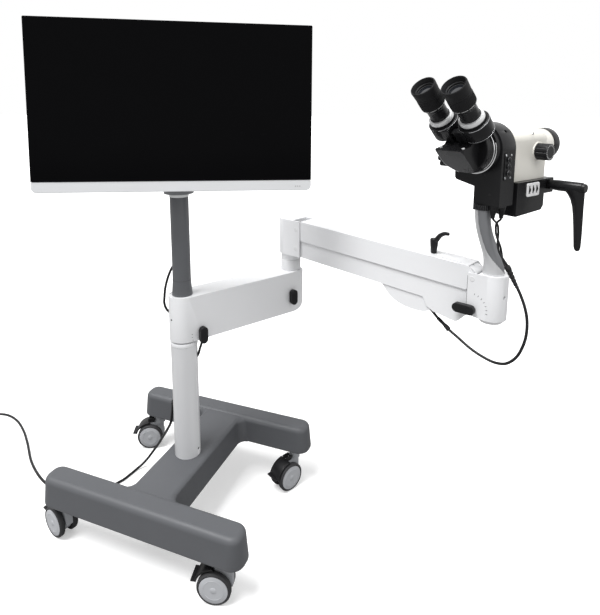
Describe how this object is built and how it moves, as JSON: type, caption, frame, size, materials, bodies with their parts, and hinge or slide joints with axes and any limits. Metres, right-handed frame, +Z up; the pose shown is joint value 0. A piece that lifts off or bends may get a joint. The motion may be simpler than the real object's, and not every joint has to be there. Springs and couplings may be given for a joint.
{
  "type": "colposcope",
  "caption": "Colposcope head with angled eyepieces on a balanced parallelogram arm, beside a flat monitor on a pole, over an H-shaped castor foot",
  "frame": {"origin": "middle of the plan box of all that is no cord, on the floor", "axes": "+Z up, +X along the bars of the foot to the side of the head, +Y along the bridge of the foot to the far bar"},
  "size_m": [1.8296, 0.565, 1.2346],
  "materials": {
    "foot_grey": "satin dark grey moulding",
    "steel": "plain steel",
    "white_paint": "gloss white powder coat on aluminium",
    "pole_grey": "satin grey",
    "silver": "satin silver",
    "bracket_dark": "satin dark grey",
    "monitor_silver": "silver grey moulding",
    "screen_black": "gloss black screen",
    "black_plastic": "black moulding",
    "gas_dark": "dark tube",
    "post_grey": "satin grey casting",
    "head_black": "semi gloss black",
    "chrome": "polished",
    "black_rubber": "ribbed rubber",
    "pod_cream": "cream white",
    "plate_white": "white plate",
    "cable_black": "black cable",
    "castor_grey": "grey moulding",
    "castor_tread": "black tread with grey discs"
  },
  "bodies": {
    "base": {"foot_shell": "foot_grey", "foot_frame": "steel", "column": "white_paint", "spindle": "steel", "pole": "pole_grey", "pole_collar": "silver", "mains_lead": "cable_black", "mains_plug": "black_plastic", "arm_cord": "cable_black"},
    "castor_1": {"castor_body_1": "castor_grey"},
    "pedal_1": {"castor_pedal_1": "black_plastic"},
    "wheels_1": {"castor_wheels_1": "castor_tread"},
    "castor_2": {"castor_body_2": "castor_grey"},
    "pedal_2": {"castor_pedal_2": "black_plastic"},
    "wheels_2": {"castor_wheels_2": "castor_tread"},
    "castor_3": {"castor_body_3": "castor_grey"},
    "pedal_3": {"castor_pedal_3": "black_plastic"},
    "wheels_3": {"castor_wheels_3": "castor_tread"},
    "castor_4": {"castor_body_4": "castor_grey"},
    "pedal_4": {"castor_pedal_4": "black_plastic"},
    "wheels_4": {"castor_wheels_4": "castor_tread"},
    "monitor_mount": {"monitor_bracket": "bracket_dark"},
    "monitor": {"monitor_shell": "monitor_silver", "monitor_glass": "screen_black", "monitor_chin": "monitor_silver"},
    "extension": {"extension_arm": "white_paint", "elbow_foot": "white_paint", "pole_cord": "cable_black"},
    "knob_a": {"knob_a": "black_plastic"},
    "knob_b": {"knob_b": "black_plastic"},
    "elbow": {"elbow_block": "white_paint"},
    "upper": {"upper_link": "white_paint"},
    "lower": {"lower_link": "white_paint", "gas_spring": "gas_dark", "head_cable": "cable_black", "head_leads": "cable_black"},
    "hub": {"end_hub": "white_paint"},
    "small_lever": {"small_lever": "black_plastic"},
    "tension_knob": {"tension_knob": "black_plastic"},
    "post": {"swivel_post": "post_grey"},
    "head": {"head_housing": "head_black", "chrome_ring": "chrome", "button_panel": "head_black", "wedge": "head_black", "zoom_pod": "pod_cream", "objective_ring": "head_black", "lamp_box": "head_black", "dial_plate": "plate_white", "head_connectors": "black_plastic"},
    "button_1": {"button_1": "black_plastic"},
    "button_2": {"button_2": "black_plastic"},
    "button_3": {"button_3": "black_plastic"},
    "eye_left": {"eye_tube_left": "head_black"},
    "focus_left": {"focus_ring_left": "black_rubber"},
    "eye_right": {"eye_tube_right": "head_black"},
    "focus_right": {"focus_ring_right": "black_rubber"},
    "zoom_knob": {"zoom_knob": "black_plastic"},
    "lobed_knob": {"lobed_knob": "black_plastic"},
    "thumb_wheels": {"thumb_wheels": "black_plastic"},
    "handle": {"clamp_handle": "head_black"}
  },
  "joints": [
    {"name": "castor_near_right_swivel", "type": "hinge", "parent": "base", "child": "castor_1", "pos_m": [-0.06398, -0.23027, 0.13], "axis": [0, 0, 1], "continuous": true},
    {"name": "castor_near_right_roll", "type": "hinge", "parent": "castor_1", "child": "wheels_1", "pos_m": [-0.09321, -0.23702, 0.038], "axis": [0.225, -0.9744, 0], "continuous": true},
    {"name": "castor_near_right_brake", "type": "hinge", "parent": "castor_1", "child": "pedal_1", "pos_m": [-0.08152, -0.23432, 0.088], "axis": [-0.225, 0.9744, 0], "range_deg": [0, 12]},
    {"name": "castor_far_right_swivel", "type": "hinge", "parent": "base", "child": "castor_2", "pos_m": [-0.06398, 0.15573, 0.13], "axis": [0, 0, 1], "continuous": true},
    {"name": "castor_far_right_roll", "type": "hinge", "parent": "castor_2", "child": "wheels_2", "pos_m": [-0.07788, 0.12914, 0.038], "axis": [0.8862, -0.4633, 0], "continuous": true},
    {"name": "castor_far_right_brake", "type": "hinge", "parent": "castor_2", "child": "pedal_2", "pos_m": [-0.07232, 0.13978, 0.088], "axis": [-0.8862, 0.4633, 0], "range_deg": [0, 12]},
    {"name": "castor_near_left_swivel", "type": "hinge", "parent": "base", "child": "castor_3", "pos_m": [-0.51198, -0.23027, 0.13], "axis": [0, 0, 1], "continuous": true},
    {"name": "castor_near_left_roll", "type": "hinge", "parent": "castor_3", "child": "wheels_3", "pos_m": [-0.54084, -0.2221, 0.038], "axis": [-0.2723, -0.9622, 0], "continuous": true},
    {"name": "castor_near_left_brake", "type": "hinge", "parent": "castor_3", "child": "pedal_3", "pos_m": [-0.5293, -0.22537, 0.088], "axis": [0.2723, 0.9622, 0], "range_deg": [0, 12]},
    {"name": "castor_far_left_swivel", "type": "hinge", "parent": "base", "child": "castor_4", "pos_m": [-0.51198, 0.15573, 0.13], "axis": [0, 0, 1], "continuous": true},
    {"name": "castor_far_left_roll", "type": "hinge", "parent": "castor_4", "child": "wheels_4", "pos_m": [-0.53917, 0.14305, 0.038], "axis": [0.4226, -0.9063, 0], "continuous": true},
    {"name": "castor_far_left_brake", "type": "hinge", "parent": "castor_4", "child": "pedal_4", "pos_m": [-0.52829, 0.14812, 0.088], "axis": [-0.4226, 0.9063, 0], "range_deg": [0, 12]},
    {"name": "monitor_swivel", "type": "hinge", "parent": "base", "child": "monitor_mount", "pos_m": [-0.27798, -0.05027, 0.85], "axis": [0, 0, 1], "range_deg": [-60, 60]},
    {"name": "monitor_tilt", "type": "hinge", "parent": "monitor_mount", "child": "monitor", "pos_m": [-0.26948, -0.06499, 1.04], "axis": [0.866, 0.5, 0], "range_deg": [-15, 5]},
    {"name": "extension_swivel", "type": "hinge", "parent": "base", "child": "extension", "pos_m": [-0.27798, -0.05027, 0.54], "axis": [0, 0, 1], "range_deg": [-60, 60], "deforming": ["pole_cord", "arm_cord"]},
    {"name": "knob_a_turn", "type": "hinge", "parent": "extension", "child": "knob_a", "pos_m": [-0.23248, -0.04041, 0.4988], "axis": [0.8585, -0.5128, 0], "range_deg": [-90, 90]},
    {"name": "knob_b_turn", "type": "hinge", "parent": "extension", "child": "knob_b", "pos_m": [-0.08931, 0.19929, 0.5305], "axis": [0.8585, -0.5128, 0], "range_deg": [-90, 90]},
    {"name": "elbow_swivel", "type": "hinge", "parent": "extension", "child": "elbow", "pos_m": [-0.10655, 0.23673, 0.64], "axis": [0, 0, 1], "range_deg": [-30, 75]},
    {"name": "arm_lift", "type": "hinge", "parent": "elbow", "child": "upper", "pos_m": [-0.06529, 0.22145, 0.7214], "axis": [0.3473, 0.9378, 0], "range_deg": [-28, 34]},
    {"name": "lower_link_follow", "type": "hinge", "parent": "elbow", "child": "lower", "pos_m": [-0.06529, 0.22145, 0.6684], "axis": [0.3473, 0.9378, 0], "range_deg": [-28, 34]},
    {"name": "hub_level", "type": "hinge", "parent": "upper", "child": "hub", "pos_m": [0.39457, 0.05116, 0.69656], "axis": [0.3473, 0.9378, 0], "range_deg": [-34, 28]},
    {"name": "small_lever_turn", "type": "hinge", "parent": "upper", "child": "small_lever", "pos_m": [0.29736, 0.08715, 0.72584], "axis": [0, 0, 1], "range_deg": [-60, 60]},
    {"name": "tension_knob_turn", "type": "hinge", "parent": "hub", "child": "tension_knob", "pos_m": [0.3838, 0.02209, 0.63156], "axis": [-0.3473, -0.9378, 0], "range_deg": [-60, 60]},
    {"name": "post_swivel", "type": "hinge", "parent": "hub", "child": "post", "pos_m": [0.42457, 0.04005, 0.7], "axis": [0, 0, 1], "range_deg": [-40, 40]},
    {"name": "head_swivel", "type": "hinge", "parent": "post", "child": "head", "pos_m": [0.39638, 0.02979, 0.86], "axis": [0, 0, 1], "range_deg": [-30, 30], "deforming": ["head_cable", "head_leads"]},
    {"name": "button_1_press", "type": "slide", "parent": "head", "child": "button_1", "axis": [-0.848, 0.5299, 0], "range_m": [0, 0.0015], "stiffness_N_per_m": 400, "springref_m": -0.001},
    {"name": "button_2_press", "type": "slide", "parent": "head", "child": "button_2", "axis": [-0.848, 0.5299, 0], "range_m": [0, 0.0015], "stiffness_N_per_m": 400, "springref_m": -0.001},
    {"name": "button_3_press", "type": "slide", "parent": "head", "child": "button_3", "axis": [-0.848, 0.5299, 0], "range_m": [0, 0.0015], "stiffness_N_per_m": 400, "springref_m": -0.001},
    {"name": "eye_right_fold", "type": "hinge", "parent": "head", "child": "eye_right", "pos_m": [0.34497, -0.01098, 0.99171], "axis": [-0.3747, -0.5997, 0.7071], "range_deg": [-8, 10]},
    {"name": "eye_left_fold", "type": "hinge", "parent": "head", "child": "eye_left", "pos_m": [0.34122, -0.01698, 0.99878], "axis": [-0.3747, -0.5997, 0.7071], "range_deg": [-10, 8]},
    {"name": "focus_left_turn", "type": "hinge", "parent": "eye_left", "child": "focus_left", "pos_m": [0.29108, -0.03117, 1.06341], "axis": [-0.3747, -0.5997, 0.7071], "range_deg": [-120, 120]},
    {"name": "focus_right_turn", "type": "hinge", "parent": "eye_right", "child": "focus_right", "pos_m": [0.35044, -0.06827, 1.06341], "axis": [-0.3747, -0.5997, 0.7071], "range_deg": [-120, 120]},
    {"name": "zoom_knob_turn", "type": "hinge", "parent": "head", "child": "zoom_knob", "pos_m": [0.49771, 0.13156, 0.95696], "axis": [0.848, -0.5299, 0], "range_deg": [-150, 150]},
    {"name": "lobed_knob_turn", "type": "hinge", "parent": "head", "child": "lobed_knob", "pos_m": [0.34614, 0.07298, 0.94096], "axis": [-0.848, 0.5299, 0], "continuous": true},
    {"name": "thumb_wheels_turn", "type": "hinge", "parent": "head", "child": "thumb_wheels", "pos_m": [0.48605, 0.10347, 0.87996], "axis": [0.5299, 0.848, 0], "range_deg": [-140, 140]},
    {"name": "handle_turn", "type": "hinge", "parent": "head", "child": "handle", "pos_m": [0.54159, 0.14894, 0.88446], "axis": [0.848, -0.5299, 0], "range_deg": [-60, 60]}
  ],
  "couplings": [
    {"joint": "lower_link_follow", "follows": "arm_lift", "ratio": 1},
    {"joint": "hub_level", "follows": "arm_lift", "ratio": -1},
    {"joint": "eye_left_fold", "follows": "eye_right_fold", "ratio": -1}
  ]
}
